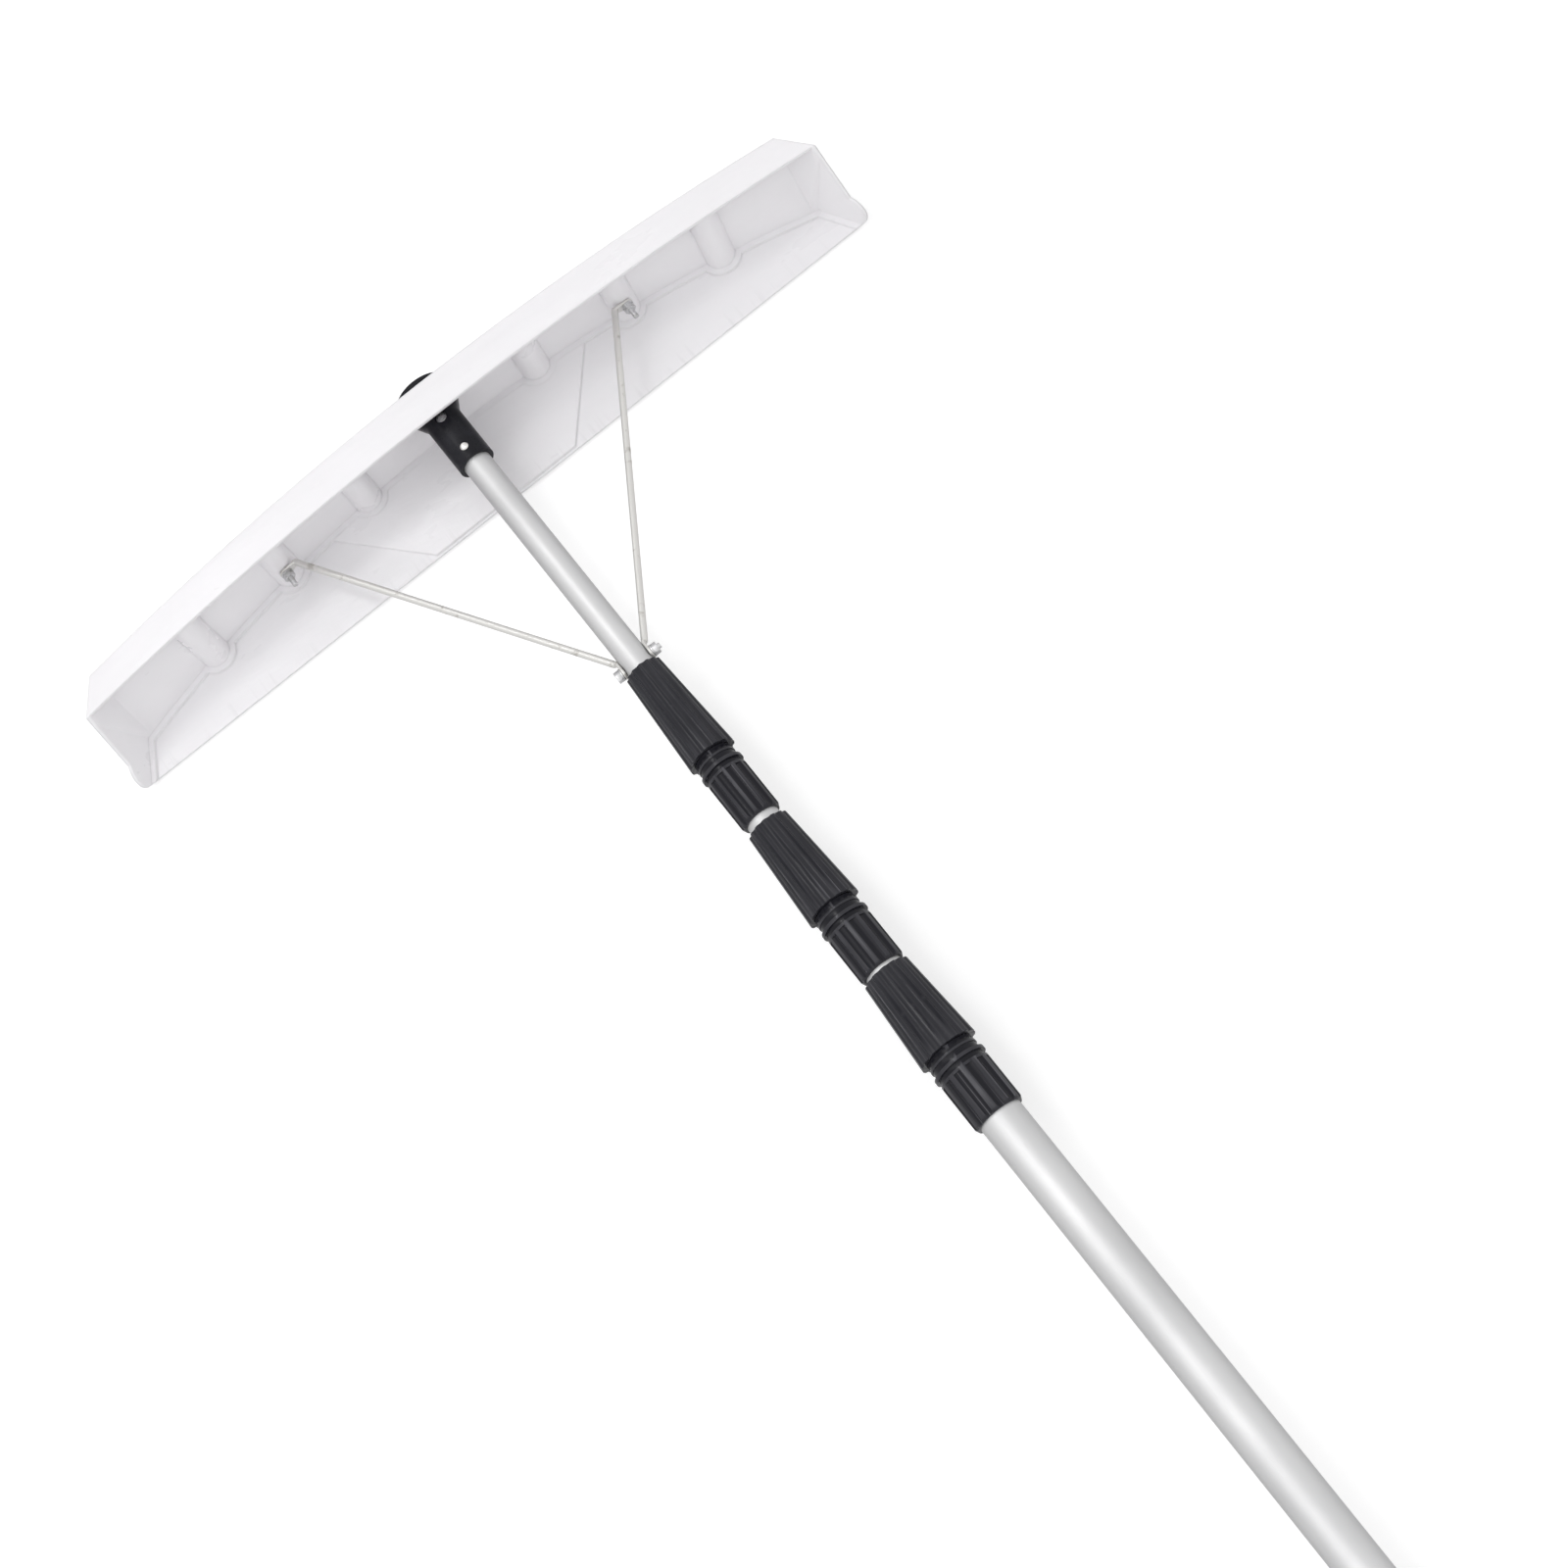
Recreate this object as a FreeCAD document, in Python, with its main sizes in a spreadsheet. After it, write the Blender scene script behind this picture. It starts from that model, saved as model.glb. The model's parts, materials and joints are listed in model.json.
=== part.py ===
import FreeCAD, Part
import os
import math
import Sketcher
from FreeCAD import Vector, Placement, Rotation

# Telescoping roof snow rake: a moulded scoop blade on a twist-lock pole of four aluminium tubes.
# Row frame, millimetres: X along the blade, Y along the pole with the blade at the +Y end, Z up.
# Z = 0 is the underside of the blade's plate, and Y = 0 lies in the middle of its back wall's foot.
# Along the pole, "station" means the distance from Y = 0 towards the handle, so station = -Y.

SIZES = [
    # blade
    ("blade_width", 635),            # tip to tip along the lip
    ("blade_height", 77),            # plate underside to lip top
    ("wall_thickness", 2.5),
    ("plate_thickness", 3),
    ("lip_thickness", 2.8),
    ("foot_width", 600),             # inside, between the two corners of the back wall
    ("foot_sag", 43.5),              # how far the corners lie in front of the arched wall's middle
    ("foot_middle", 1.5),            # inner face of the wall in front of Y = 0
    ("plate_depth", 73),             # Y = 0 to the scraping edge
    ("edge_width", 630),             # inside, between the end walls at the scraping edge
    ("lip_back_width", 598),         # between the two chamfers of the lip's back edge
    ("lip_back_sag", 21),
    ("lip_reach", 27),               # lip's back edge to its front edge, at the middle
    ("lip_front_sag", 19),
    ("wall_lean", 18),               # degrees, upper part of the wall
    ("flute_pitch", 76),
    ("flute_width", 22),
    ("flute_reach", 9),              # how far a flute stands out of the wall
    ("ledge_width", 4.5),            # small step round the foot of the walls
    ("ledge_height", 2.4),
    ("panel_top_width", 248),
    ("panel_edge_width", 124),
    ("panel_height", 2),
    ("ear_height", 30),              # rounded ear at each scraping corner
    ("ear_reach", 5.5),
    # pole
    ("pole_height", 52),             # pole axis above the plate's underside
    ("tube_diameter", 20.6),         # thinnest tube, outside
    ("tube_step", 3.175),            # each next tube is larger by this
    ("tube_wall", 1.2),
    ("slide_gap", 0.08),             # radial running clearance
    ("seat_gap", 0.05),              # radial clearance of a fixed seat
    ("seat_turning", 0.25),          # tube ends inside a grip are turned down by this much
    ("handle_end", 2000),            # station of the handle tube's far end
    ("tube_stagger", 45),            # each inner tube ends this much before the next larger one
    ("guide_length", 30),
    ("cap_length", 28),
    # socket
    ("socket_radius", 13.5),
    ("socket_flare", 21.8),
    ("socket_end", 62.5),
    ("flare_rim", 2),
    ("flare_end", 20),
    ("tube_seat", 9),                # station of the first tube's end inside the socket
    ("spigot_radius", 6),
    ("flange_radius", 21.5),
    ("flange_rim", 6.5),
    ("flange_dome", 3),
    ("button_station", 53.3),
    ("button_radius", 3.2),
    ("button_proud", 1.6),
    ("button_foot", 1),              # width and thickness of the rim that holds it in
    ("button_travel", 4),
    ("screw_station", 23.6),
    ("screw_radius", 2),
    ("screw_recess", 2.3),
    # braces
    ("brace_diameter", 5),
    ("brace_bolt_height", 28),       # wall bolts above the plate's underside
    ("cross_station", 257.5),        # bolt through the pole
    ("eye_width", 10),
    ("eye_thickness", 2.2),
    ("tab_share", 0.55),             # a tab's narrow end, over its eye's width
    ("wall_rise", 0.35),             # how fast a tab climbs as it leaves the wall
    ("pole_dip", 0.1),               # how fast a tab drops as it leaves the pole
    ("bolt_radius", 2),
    ("bolt_gap", 0.2),
    ("nut_flats", 7.6),
    ("nut_height", 4),
    ("washer_radius", 4.6),
    ("washer_thickness", 1),
    ("bolt_stub", 2),                # thread that stands out of a nut
    ("wall_bolt_stub", 7),
    ("head_share", 1.7),             # round head's radius, over its bolt's
    # collars, from the blade to the handle
    ("collar_one", 265.4),           # station of each twist nut's front end
    ("collar_two", 407.3),
    ("collar_three", 535.4),
    ("nut_length_one", 79),
    ("nut_length_two", 71.8),
    ("nut_length_three", 64.6),
    ("grip_length_one", 39.8),
    ("grip_length_two", 36.6),
    ("grip_length_three", 36.2),
    ("neck_length", 16.5),           # bare neck between the nut and the grip
    ("nut_over_tube", 3.35),         # nut's front end, radially over the tube that slides in it
    ("nut_flare", 4),                # its back end, over its front end
    ("grip_over_tube", 2.95),        # grip, radially over the tube that it is fixed to
    ("ring_over_grip", 1),
    ("neck_under_grip", 1.2),
    ("thread_gap", 0.4),
    ("thread_cover", 30),            # length of the neck inside the nut
    ("collet_thickness", 1.5),
    ("collet_slit", 2),
    ("grip_flutes", 12),
    ("grip_flute_depth", 1.2),
    ("grip_groove_radius", 4),
    ("grip_end_slope", 2.5),         # turned-in edge at the grip's far end
    ("nut_flutes", 14),
    ("nut_flute_depth", 1),
    ("nut_groove_radius", 3.6),
    ("ring_station", 10.6),          # ring on the neck, from the nut's back end
    ("ring_length", 2.4),
    ("bead_station", 4.5),           # thin bead on the neck, from the nut's back end
    ("bead_length", 1.6),
    ("bead_over_neck", 0.7),
    ("thread_over_tube", 1.3),       # threaded neck, radially over the tube that it is fixed to
    ("nut_mouth", 0.6),              # nut's front opening, radially over the sliding tube
    ("nut_lip", 5),                  # length of that opening
    ("cap_head", 6),
    ("cap_edge", 2),
    ("spring_strip", 0.8),
    ("spring_width", 6),
    ("spring_leg", 22),
]

doc = FreeCAD.newDocument("roof_snow_rake")
dims = doc.addObject("Spreadsheet::Sheet", "dims")
for row, (alias, value) in enumerate(SIZES, start=1):
    dims.set(f"A{row}", alias)
    dims.set(f"B{row}", str(value))
    dims.setAlias(f"B{row}", alias)
doc.recompute()

NODES = []
HALF_TURN = Rotation(Vector(0, 0, 1), 180)      # a body's own Y then runs towards the handle
TO_HANDLE = Rotation(Vector(1, 0, 0), 90)       # a primitive's own Z runs towards the handle
TO_RIGHT = Rotation(Vector(0, 1, 0), 90)        # a primitive's own Z runs along +X


def size(alias):
    """The value of one cell of the sheet."""
    return float(getattr(dims, alias))


def read(expression):
    """The value of an expression on the sheet's cells."""
    return float(dims.evalExpression(expression))


def node(label, thing):
    """Names a finished sub-part and keeps it for export."""
    thing.Label = label
    NODES.append(thing)
    return thing


def origin_plane(body, role):
    for feature in body.Origin.OriginFeatures:
        if feature.Role == role:
            return feature
    raise ValueError(role)


def new_sketch(body, name, role):
    sketch = body.newObject("Sketcher::SketchObject", name)
    sketch.AttachmentSupport = [(origin_plane(body, role), "")]
    sketch.MapMode = "FlatFace"
    return sketch


def bind_point(sketch, edge, along_x, along_y):
    """Ties the start of an edge to the origin by two expressions; '0' puts it on the axis."""
    for kind, axis, expression in (("DistanceX", -2, along_x), ("DistanceY", -1, along_y)):
        if expression == "0":
            sketch.addConstraint(Sketcher.Constraint("PointOnObject", edge, 1, axis))
            continue
        value = read(expression)
        index = sketch.addConstraint(Sketcher.Constraint(kind, -1, 1, edge, 1, value))
        sketch.setExpression(f"Constraints[{index}]", expression)


def closed_profile(sketch, corners):
    """Draws a closed outline whose corners are pairs of expressions."""
    points = [Vector(read(a), read(b), 0) for a, b in corners]
    for start, end in zip(points, points[1:] + points[:1]):
        sketch.addGeometry(Part.LineSegment(start, end))
    count = len(corners)
    for edge in range(count):
        after = (edge + 1) % count
        sketch.addConstraint(Sketcher.Constraint("Coincident", edge, 2, after, 1))
    for edge, (along_x, along_y) in enumerate(corners):
        bind_point(sketch, edge, along_x, along_y)


def turned_body(label, corners):
    """A body turned about the pole's axis. Corners are (radius, station) expressions."""
    body = doc.addObject("PartDesign::Body", label)
    body.Label = label
    sketch = new_sketch(body, f"{label}_profile", "XY_Plane")
    closed_profile(sketch, corners)
    turn = body.newObject("PartDesign::Revolution", f"{label}_turn")
    turn.Profile = sketch
    turn.ReferenceAxis = (sketch, ["V_Axis"])
    turn.Angle = 360
    sketch.Visibility = False
    body.Placement = Placement(Vector(0, 0, size("pole_height")), HALF_TURN)
    body.setExpression("Placement.Base.z", "dims.pole_height")
    doc.recompute()
    return body


def drill(body, name, role, centre, radius, both_ways=False):
    """A round hole square to one of the body's planes, at a pair of expressions.

    It runs upwards from the plane, or both ways from it.
    """
    sketch = new_sketch(body, f"{name}_circle", role)
    middle = Vector(read(centre[0]), read(centre[1]), 0)
    sketch.addGeometry(Part.Circle(middle, Vector(0, 0, 1), read(radius)))
    for kind, axis, expression in (("DistanceX", -2, centre[0]), ("DistanceY", -1, centre[1])):
        if expression == "0":
            sketch.addConstraint(Sketcher.Constraint("PointOnObject", 0, 3, axis))
            continue
        index = sketch.addConstraint(Sketcher.Constraint(kind, -1, 1, 0, 3, read(expression)))
        sketch.setExpression(f"Constraints[{index}]", expression)
    index = sketch.addConstraint(Sketcher.Constraint("Radius", 0, read(radius)))
    sketch.setExpression(f"Constraints[{index}]", radius)
    before = body.Shape.Volume
    pocket = body.newObject("PartDesign::Pocket", name)
    pocket.Profile = sketch
    pocket.Type = 1
    pocket.Midplane = both_ways
    pocket.Reversed = not both_ways
    doc.recompute()
    if body.Shape.Volume > before - 1e-6:
        raise RuntimeError(f"{name} cuts nothing")
    sketch.Visibility = False
    return pocket


def primitive(kind, name, values, base, rotation=None):
    """A Part primitive whose sizes and place are bound to expressions."""
    thing = doc.addObject(kind, name)
    for prop, expression in values.items():
        thing.setExpression(prop, expression)
    place = Vector(*[read(expression) for expression in base])
    thing.Placement = Placement(place, rotation or Rotation())
    for axis, expression in zip("xyz", base):
        thing.setExpression(f"Placement.Base.{axis}", expression)
    return thing


def boolean(kind, name, base, tool):
    thing = doc.addObject(kind, name)
    thing.Base = base
    thing.Tool = tool
    return thing


# ---------------------------------------------------------------- blade

# Working blocks are drawn out past the blade to these limits.
BEHIND = 60
AHEAD = -160
ASIDE = 450


def arc_face(half_width, middle_y, sag, spread, front_y):
    """Flat region in front of an arch that passes (0, middle_y) and drops by sag at half_width."""
    radius = (half_width**2 + sag**2) / (2 * sag)
    drop = radius - math.sqrt(radius**2 - spread**2)
    left = Vector(-spread, middle_y - drop, 0)
    right = Vector(spread, middle_y - drop, 0)
    arch = Part.Arc(left, Vector(0, middle_y, 0), right).toShape()
    front = Part.makePolygon([right, Vector(spread, front_y, 0), Vector(-spread, front_y, 0), left])
    return Part.Face(Part.Wire([arch] + front.Edges))


def lip_region(inset, front_y):
    """Flat region in front of the lip's back edge, with its chamfered ends run on forwards."""
    half = size("blade_width") / 2
    back_half = size("lip_back_width") / 2
    middle_y = size("wall_thickness") - size("foot_middle")
    sag = size("lip_back_sag")
    corner_y = -size("foot_middle") - size("foot_sag")
    slope = (half - back_half) / (middle_y - sag - corner_y)
    run = 50
    left = Vector(-back_half, middle_y - sag, 0)
    right = Vector(back_half, middle_y - sag, 0)
    wide = half + slope * run
    far_y = corner_y - run
    arch = Part.Arc(left, Vector(0, middle_y, 0), right).toShape()
    rest = Part.makePolygon([
        right, Vector(wide, far_y, 0), Vector(wide, front_y, 0),
        Vector(-wide, front_y, 0), Vector(-wide, far_y, 0), left,
    ])
    face = Part.Face(Part.Wire([arch] + rest.Edges))
    return face.makeOffset2D(-inset) if inset else face


def end_planes(inset, floor, top):
    """Block between the two leaning planes of the end walls."""
    corner_y = -size("foot_middle") - size("foot_sag")
    splay = (size("edge_width") - size("foot_width")) / 2 / (size("plate_depth") + corner_y)
    foot_half = size("foot_width") / 2 + size("wall_thickness")
    top_half = size("blade_width") / 2
    lean = (top_half - foot_half) / size("blade_height")
    back_y = BEHIND
    front_y = AHEAD

    def outline(height):
        half = foot_half + lean * height - inset
        back = half + splay * (corner_y - back_y)
        front = half + splay * (corner_y - front_y)
        corners = [(-back, back_y), (back, back_y), (front, front_y), (-front, front_y), (-back, back_y)]
        return Part.makePolygon([Vector(x, y, height) for x, y in corners])

    return Part.makeLoft([outline(floor), outline(top)], True, True)


def scoop(inset, floor, top, flute_growth):
    """Space in front of the wall and between the end walls, from floor to top."""
    spread = 1.2 * size("foot_width") / 2
    foot = arc_face(size("foot_width") / 2, -size("foot_middle"), size("foot_sag"), spread, AHEAD)
    foot_inset = inset - size("wall_thickness")
    if abs(foot_inset) > 1e-6:
        foot = foot.makeOffset2D(-foot_inset)
    foot.translate(Vector(0, 0, floor))
    upright = foot.extrude(Vector(0, 0, top - floor))
    drop = size("blade_height") - floor
    back = math.tan(math.radians(size("wall_lean")))
    leaning = lip_region(inset, AHEAD)
    leaning.translate(Vector(0, 0, size("blade_height")))
    leaning = leaning.extrude(Vector(0, -back * drop, -drop))
    ceiling = Part.makeBox(2 * ASIDE, 2 * ASIDE, top - floor, Vector(-ASIDE, -ASIDE, floor))
    space = upright.fuse(leaning.common(ceiling))
    space = space.common(end_planes(inset, floor, top))
    if flute_growth is not None:
        radius = size("flute_width") / 2 + flute_growth
        for x, y in flute_centres():
            rib = Part.makeCylinder(radius, top - floor, Vector(x, y, floor))
            back_of_rib = Part.makeBox(2 * radius, BEHIND, top - floor, Vector(x - radius, y, floor))
            space = space.cut(rib.fuse(back_of_rib))
    return space


def wall_y(x):
    """Y of the wall's inner face at its foot."""
    half = size("foot_width") / 2
    sag = size("foot_sag")
    radius = (half**2 + sag**2) / (2 * sag)
    return -size("foot_middle") - (radius - math.sqrt(radius**2 - x**2))


def flute_centres():
    """Axis of each of the six upright half-round flutes."""
    behind = size("flute_width") / 2 - size("flute_reach")
    for number in (-3, -2, -1, 1, 2, 3):
        x = number * size("flute_pitch")
        yield x, wall_y(x) + behind


def side_profile():
    """Outline of the end walls seen along X, drawn out over the whole width."""
    corner_y = -size("foot_middle") - size("foot_sag")
    top = size("blade_height")
    edge_y = -size("plate_depth")
    ear_top = size("ear_height")
    slope = (edge_y + size("ear_reach") - corner_y) / (ear_top - top)
    ear_y = corner_y + slope * (ear_top - top)
    ear = Part.Arc(
        Vector(0, edge_y, 0),
        Vector(0, edge_y - size("ear_reach"), ear_top / 2),
        Vector(0, ear_y, ear_top),
    ).toShape()
    rest = Part.makePolygon([
        Vector(0, ear_y, ear_top), Vector(0, corner_y, top), Vector(0, BEHIND, top),
        Vector(0, BEHIND, 0), Vector(0, edge_y, 0),
    ])
    face = Part.Face(Part.Wire([ear] + rest.Edges))
    face.translate(Vector(-ASIDE, 0, 0))
    return face.extrude(Vector(2 * ASIDE, 0, 0))


def lip_plate():
    """Flat strip along the top of the wall, wider than the wall's lean in the middle."""
    half = size("blade_width") / 2
    corner_y = -size("foot_middle") - size("foot_sag")
    front_y = size("wall_thickness") - size("foot_middle") - size("lip_reach")
    front_radius = (half**2 + size("lip_front_sag") ** 2) / (2 * size("lip_front_sag"))
    spread = half * 1.2
    drop = front_radius - math.sqrt(front_radius**2 - spread**2)
    arch = Part.Arc(
        Vector(-spread, front_y - drop, 0), Vector(0, front_y, 0), Vector(spread, front_y - drop, 0)
    ).toShape()
    rest = Part.makePolygon([
        Vector(spread, front_y - drop, 0), Vector(spread, BEHIND, 0),
        Vector(-spread, BEHIND, 0), Vector(-spread, front_y - drop, 0),
    ])
    behind = Part.Face(Part.Wire([arch] + rest.Edges))
    strip = behind.common(lip_region(0, corner_y - 20)).Faces[0]
    strip.translate(Vector(0, 0, size("blade_height") - size("lip_thickness")))
    return strip.extrude(Vector(0, 0, size("lip_thickness")))


def blade():
    """One moulding: plate, arched back wall with six flutes, two end walls, lip and panel."""
    height = size("blade_height")
    plate = size("plate_thickness")
    wall = size("wall_thickness")
    under_lip = height - size("lip_thickness")
    body = scoop(0, 0, height, None).common(side_profile())
    inner_radius = size("flute_width") / 2 - wall
    for x, y in flute_centres():
        channel = Part.makeCylinder(inner_radius, under_lip - plate, Vector(x, y, plate))
        open_back = Part.makeBox(
            2 * inner_radius, BEHIND, under_lip - plate, Vector(x - inner_radius, y, plate)
        )
        body = body.cut(channel.fuse(open_back))
    ledge_top = plate + size("ledge_height")
    body = body.cut(scoop(wall, ledge_top, height + 1, 0))
    inner_floor = scoop(wall + size("ledge_width"), plate, height + 1, size("ledge_width"))
    body = body.cut(inner_floor)
    top_half = size("panel_top_width") / 2
    edge_half = size("panel_edge_width") / 2
    edge_y = -size("plate_depth")
    panel = Part.Face(Part.makePolygon([
        Vector(-top_half, 0, plate), Vector(top_half, 0, plate),
        Vector(edge_half, edge_y, plate), Vector(-edge_half, edge_y, plate), Vector(-top_half, 0, plate),
    ])).extrude(Vector(0, 0, size("panel_height")))
    body = body.fuse(panel.common(inner_floor))
    body = body.fuse(lip_plate())
    along_y = Vector(0, 1, 0)
    spigot_start = Vector(0, -size("flute_width"), size("pole_height"))
    spigot_hole = Part.makeCylinder(
        size("spigot_radius") + size("bolt_gap"), 2 * size("flute_width"), spigot_start, along_y
    )
    body = body.cut(spigot_hole)
    seat_start = Vector(0, -size("foot_middle") - size("flange_rim"), size("pole_height"))
    socket_seat = Part.makeCylinder(
        size("socket_flare") + size("bolt_gap"), size("flange_rim"), seat_start, along_y
    )
    body = body.cut(socket_seat)
    for x, y in flute_centres():
        if abs(abs(x) - 2 * size("flute_pitch")) < 1e-6:
            start = Vector(x, y - size("flute_width"), size("brace_bolt_height"))
            reach = size("flute_width")
            body = body.cut(
                Part.makeCylinder(size("bolt_radius") + size("bolt_gap"), reach, start, along_y)
            )
    shape = body.removeSplitter()
    thing = doc.addObject("Part::Feature", "blade")
    thing.Shape = shape.Solids[0] if len(shape.Solids) == 1 else shape
    return node("blade", thing)


# ---------------------------------------------------------------- socket on the wall

def tube_radius(number):
    """Outside radius of a tube, counted from the blade."""
    return f"(dims.tube_diameter + {number - 1} * dims.tube_step) / 2"


def bore_radius(number):
    return f"({tube_radius(number)} - dims.tube_wall)"


WALL_BACK = "(dims.foot_middle - dims.wall_thickness)"       # station of the wall's back face
SPIGOT_END = "(dims.tube_seat - dims.bolt_gap)"


def pole_socket():
    """Flared moulding that stands on the wall and holds the first tube."""
    tube_bore = f"{tube_radius(1)} + dims.seat_gap"
    spigot_bore = "dims.spigot_radius + dims.seat_gap"
    body = turned_body("pole_socket", [
        (spigot_bore, "dims.foot_middle"),
        ("dims.socket_flare", "dims.foot_middle"),
        ("dims.socket_flare", "dims.foot_middle + dims.flare_rim"),
        ("dims.socket_radius", "dims.flare_end"),
        ("dims.socket_radius", "dims.socket_end"),
        (tube_bore, "dims.socket_end"),
        (tube_bore, "dims.tube_seat"),
        (spigot_bore, "dims.tube_seat"),
    ])
    drill(body, "button_hole", "XY_Plane", ("0", "dims.button_station"),
          "dims.button_radius + dims.bolt_gap")
    drill(body, "screw_well", "XY_Plane", ("0", "dims.screw_station"),
          "2 * dims.screw_radius + dims.bolt_gap")
    return node("pole_socket", body)


def back_flange():
    """Domed flange behind the wall, with a spigot that goes through it into the socket."""
    screw_bore = "dims.bolt_radius + dims.bolt_gap"
    dome = f"{WALL_BACK} - dims.flange_rim - dims.flange_dome"
    body = turned_body("socket_back_flange", [
        (screw_bore, SPIGOT_END),
        ("dims.spigot_radius", SPIGOT_END),
        ("dims.spigot_radius", WALL_BACK),
        ("dims.flange_radius", WALL_BACK),
        ("dims.flange_radius", f"{WALL_BACK} - dims.flange_rim"),
        ("dims.flange_radius / 2", dome),
        (screw_bore, dome),
    ])
    return node("socket_back_flange", body)


def flange_fasteners():
    """Screw through flange and spigot, with its washer and nut inside the first tube."""
    dome = f"{WALL_BACK} - dims.flange_rim - dims.flange_dome"
    washer_end = "dims.tube_seat + dims.washer_thickness"
    nut_end = f"{washer_end} + dims.nut_height"
    screw = turned_body("flange_screw", [
        ("0", f"{dome} - dims.nut_height / 2"),
        ("2 * dims.bolt_radius", f"{dome} - dims.nut_height / 2"),
        ("2 * dims.bolt_radius", dome),
        ("dims.bolt_radius", dome),
        ("dims.bolt_radius", f"{nut_end} + dims.bolt_stub"),
        ("0", f"{nut_end} + dims.bolt_stub"),
    ])
    node("flange_screw", screw)
    washer = turned_body("flange_washer", [
        ("dims.bolt_radius + dims.bolt_gap", "dims.tube_seat"),
        (f"{bore_radius(1)} - dims.bolt_gap", "dims.tube_seat"),
        (f"{bore_radius(1)} - dims.bolt_gap", washer_end),
        ("dims.bolt_radius + dims.bolt_gap", washer_end),
    ])
    node("flange_washer", washer)
    node("flange_nut", hex_nut("flange_nut", ("0", f"-({washer_end})", "dims.pole_height"), TO_HANDLE))


def hex_nut(name, base, rotation, radius="dims.bolt_radius"):
    """Hexagon nut whose seat is at base and whose height runs along the rotation's Z."""
    blank = primitive("Part::Prism", f"{name}_blank", {
        "Circumradius": "dims.nut_flats / sqrt(3)",
        "Height": "dims.nut_height",
    }, base, rotation)
    hole = primitive("Part::Cylinder", f"{name}_hole", {
        "Radius": radius,
        "Height": "dims.nut_height",
    }, base, rotation)
    return boolean("Part::Cut", name, blank, hole)


def washer(name, base, rotation):
    blank = primitive("Part::Cylinder", f"{name}_blank", {
        "Radius": "dims.washer_radius",
        "Height": "dims.washer_thickness",
    }, base, rotation)
    hole = primitive("Part::Cylinder", f"{name}_hole", {
        "Radius": "dims.bolt_radius + dims.bolt_gap",
        "Height": "dims.washer_thickness",
    }, base, rotation)
    return boolean("Part::Cut", name, blank, hole)


def group(label, members):
    """Like fasteners kept in one sub-part as separate solids."""
    bundle = doc.addObject("Part::Compound", label)
    bundle.Links = members
    return node(label, bundle)


def socket_screw():
    """Pan head screw in its well, through the first tube."""
    seat = f"dims.pole_height + {tube_radius(1)}"
    shank = primitive("Part::Cylinder", "socket_screw_shank", {
        "Radius": "dims.screw_radius",
        "Height": "2 * dims.tube_wall + dims.bolt_stub",
    }, ("0", "-dims.screw_station", f"{seat} - 2 * dims.tube_wall"))
    head = primitive("Part::Cylinder", "socket_screw_head", {
        "Radius": "2 * dims.screw_radius",
        "Height": f"dims.socket_radius - {tube_radius(1)} - dims.screw_recess",
    }, ("0", "-dims.screw_station", seat))
    return node("socket_screw", boolean("Part::Fuse", "socket_screw", shank, head))


def snap_button():
    """Domed spring button: its foot is caught under the tube's wall."""
    foot_radius = "(dims.button_radius + dims.button_foot)"
    foot_top = f"(sqrt({bore_radius(1)} ^ 2 - {foot_radius} ^ 2) - dims.bolt_gap)"
    dome_start = "dims.socket_radius - dims.bolt_gap"
    label = "snap_button"
    body = doc.addObject("PartDesign::Body", label)
    body.Label = label
    sketch = new_sketch(body, f"{label}_profile", "XZ_Plane")
    closed_profile(sketch, [
        ("0", f"{foot_top} - dims.button_foot"),
        (foot_radius, f"{foot_top} - dims.button_foot"),
        (foot_radius, foot_top),
        ("dims.button_radius", foot_top),
        ("dims.button_radius", dome_start),
        ("dims.button_radius * cos(45)", f"{dome_start} + dims.button_proud * sin(45)"),
        ("dims.button_radius * cos(68)", f"{dome_start} + dims.button_proud * sin(68)"),
        ("0", f"{dome_start} + dims.button_proud"),
    ])
    turn = body.newObject("PartDesign::Revolution", f"{label}_turn")
    turn.Profile = sketch
    turn.ReferenceAxis = (sketch, ["V_Axis"])
    turn.Angle = 360
    sketch.Visibility = False
    body.Placement.Base = Vector(0, -size("button_station"), size("pole_height"))
    body.setExpression("Placement.Base.y", "-dims.button_station")
    body.setExpression("Placement.Base.z", "dims.pole_height")
    return node(label, body)


def button_spring():
    """Hairpin of steel strip inside the tube, one leg under the button."""
    bore = read(bore_radius(1))
    half_width = size("spring_width") / 2
    strip = size("spring_strip")
    foot_radius = size("button_radius") + size("button_foot")
    button_under = math.sqrt(bore**2 - foot_radius**2) - size("bolt_gap") - size("button_foot")
    low = -math.sqrt(bore**2 - half_width**2) + size("bolt_gap")
    high = button_under - 1.5 * size("bolt_gap")
    radius = (high - low) / 2
    bend_y = -size("button_station") + size("spring_leg") / 2
    middle = Vector(-half_width, bend_y, size("pole_height") + (high + low) / 2)

    def hairpin(curve, leg):
        bend = Part.makeCylinder(curve, 2 * half_width, middle, Vector(1, 0, 0))
        legs = Part.makeBox(2 * half_width, leg, 2 * curve, middle + Vector(0, -leg, -curve))
        return bend.fuse(legs)

    thing = doc.addObject("Part::Feature", "button_spring")
    leg = size("spring_leg")
    thing.Shape = hairpin(radius, leg).cut(hairpin(radius - strip, leg + 1)).Solids[0]
    return node("button_spring", thing)


# ---------------------------------------------------------------- braces

def crest(side):
    """Foremost point of the flute that carries a brace."""
    x = 2 * side * size("flute_pitch")
    return Vector(x, wall_y(x) - size("flute_reach"), size("brace_bolt_height"))


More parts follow.
